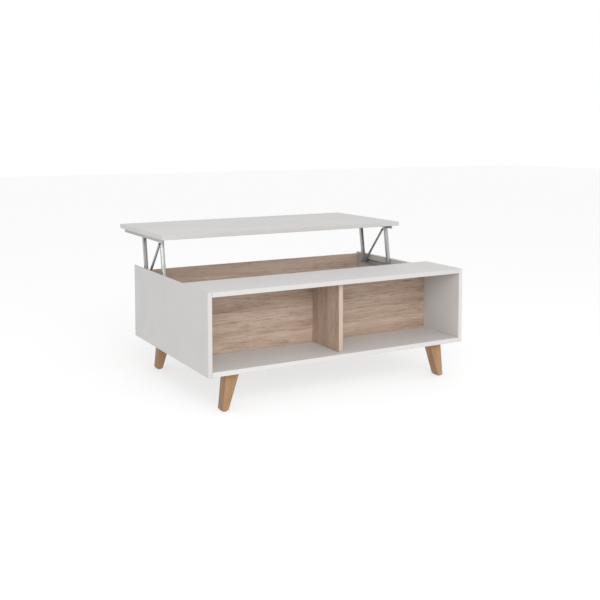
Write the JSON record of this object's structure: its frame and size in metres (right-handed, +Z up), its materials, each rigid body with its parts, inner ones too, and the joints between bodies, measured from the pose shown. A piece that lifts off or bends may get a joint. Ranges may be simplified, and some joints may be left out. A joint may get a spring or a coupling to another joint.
{
  "type": "lift top coffee table",
  "caption": "Coffee table with open front niches and a lid that lifts up and back on parallel arms over a storage well, on splayed tapered legs.",
  "frame": {"origin": "centre of the floor under the whole table as it stands with its lid raised", "axes": "+X to the right seen from the niches, +Y from the niches to the back, +Z up; the niches face -Y"},
  "size_m": [1, 0.8538, 0.5276],
  "materials": {
    "white_laminate": "satin white melamine on particle board, with matching edge banding",
    "oak_laminate": "grey-brown oak print melamine on particle board, matt",
    "solid_oak": "lacquered solid oak",
    "zinc_steel": "zinc plated pressed steel",
    "black_plastic": "moulded, matt"
  },
  "bodies": {
    "base": {"left_side_panel": "white_laminate", "right_side_panel": "white_laminate", "bottom_panel": "white_laminate", "fixed_top": "white_laminate", "niche_back_panel": "oak_laminate", "centre_divider": "oak_laminate", "rear_panel": "oak_laminate", "left_front_leg": "solid_oak", "left_front_glide": "black_plastic", "left_front_leg_bolt": "zinc_steel", "left_rear_leg": "solid_oak", "left_rear_glide": "black_plastic", "left_rear_leg_bolt": "zinc_steel", "right_front_leg": "solid_oak", "right_front_glide": "black_plastic", "right_front_leg_bolt": "zinc_steel", "right_rear_leg": "solid_oak", "right_rear_glide": "black_plastic", "right_rear_leg_bolt": "zinc_steel", "left_base_rail": "zinc_steel", "left_rear_lower_pin": "zinc_steel", "left_front_lower_pin": "zinc_steel", "left_strut_lower_pin": "zinc_steel", "left_base_screw_1": "zinc_steel", "left_base_screw_2": "zinc_steel", "left_base_screw_3": "zinc_steel", "right_base_rail": "zinc_steel", "right_rear_lower_pin": "zinc_steel", "right_front_lower_pin": "zinc_steel", "right_strut_lower_pin": "zinc_steel", "right_base_screw_1": "zinc_steel", "right_base_screw_2": "zinc_steel", "right_base_screw_3": "zinc_steel"},
    "lid": {"lift_lid": "white_laminate", "left_top_rail": "zinc_steel", "left_rear_upper_pin": "zinc_steel", "left_front_upper_pin": "zinc_steel", "left_strut_upper_pin": "zinc_steel", "left_lid_screw_1": "zinc_steel", "left_lid_screw_2": "zinc_steel", "left_lid_screw_3": "zinc_steel", "right_top_rail": "zinc_steel", "right_rear_upper_pin": "zinc_steel", "right_front_upper_pin": "zinc_steel", "right_strut_upper_pin": "zinc_steel", "right_lid_screw_1": "zinc_steel", "right_lid_screw_2": "zinc_steel", "right_lid_screw_3": "zinc_steel"},
    "left_rear_arm": {"left_rear_arm": "zinc_steel"},
    "left_front_arm": {"left_front_arm": "zinc_steel"},
    "left_strut_tube": {"left_strut_tube": "zinc_steel"},
    "left_strut_rod": {"left_strut_rod": "zinc_steel"},
    "right_rear_arm": {"right_rear_arm": "zinc_steel"},
    "right_front_arm": {"right_front_arm": "zinc_steel"},
    "right_strut_tube": {"right_strut_tube": "zinc_steel"},
    "right_strut_rod": {"right_strut_rod": "zinc_steel"}
  },
  "joints": [
    {"name": "lid_lift", "type": "hinge", "parent": "base", "child": "left_rear_arm", "pos_m": [-0.4765, 0.1834, 0.3495], "axis": [1, 0, 0], "range_deg": [0, 93.1]},
    {"name": "left_rear_upper_pivot", "type": "hinge", "parent": "left_rear_arm", "child": "lid", "pos_m": [-0.4765, 0.2081, 0.50199], "axis": [1, 0, 0], "range_deg": [-93.1, 0]},
    {"name": "left_front_lower_pivot", "type": "hinge", "parent": "base", "child": "left_front_arm", "pos_m": [-0.4765, 0.002, 0.3495], "axis": [1, 0, 0], "range_deg": [0, 93.1]},
    {"name": "right_rear_lower_pivot", "type": "hinge", "parent": "base", "child": "right_rear_arm", "pos_m": [0.4765, 0.1834, 0.3495], "axis": [1, 0, 0], "range_deg": [0, 93.1]},
    {"name": "right_front_lower_pivot", "type": "hinge", "parent": "base", "child": "right_front_arm", "pos_m": [0.4765, 0.002, 0.3495], "axis": [1, 0, 0], "range_deg": [0, 93.1]},
    {"name": "left_strut_lower_pivot", "type": "hinge", "parent": "base", "child": "left_strut_tube", "pos_m": [-0.4765, 0.1687, 0.3495], "axis": [1, 0, 0], "range_deg": [0, 46.2]},
    {"name": "left_strut_upper_pivot", "type": "hinge", "parent": "lid", "child": "left_strut_rod", "pos_m": [-0.4765, 0.0372, 0.50199], "axis": [1, 0, 0], "range_deg": [0, 46.2]},
    {"name": "right_strut_lower_pivot", "type": "hinge", "parent": "base", "child": "right_strut_tube", "pos_m": [0.4765, 0.1687, 0.3495], "axis": [1, 0, 0], "range_deg": [0, 46.2]},
    {"name": "right_strut_upper_pivot", "type": "hinge", "parent": "lid", "child": "right_strut_rod", "pos_m": [0.4765, 0.0372, 0.50199], "axis": [1, 0, 0], "range_deg": [0, 46.2]}
  ],
  "couplings": [
    {"joint": "left_rear_upper_pivot", "follows": "lid_lift", "ratio": -1},
    {"joint": "left_front_lower_pivot", "follows": "lid_lift", "ratio": 1},
    {"joint": "right_rear_lower_pivot", "follows": "lid_lift", "ratio": 1},
    {"joint": "right_front_lower_pivot", "follows": "lid_lift", "ratio": 1},
    {"joint": "left_strut_lower_pivot", "follows": "lid_lift", "ratio": 0.4962},
    {"joint": "left_strut_upper_pivot", "follows": "lid_lift", "ratio": 0.4962},
    {"joint": "right_strut_lower_pivot", "follows": "lid_lift", "ratio": 0.4962},
    {"joint": "right_strut_upper_pivot", "follows": "lid_lift", "ratio": 0.4962}
  ]
}
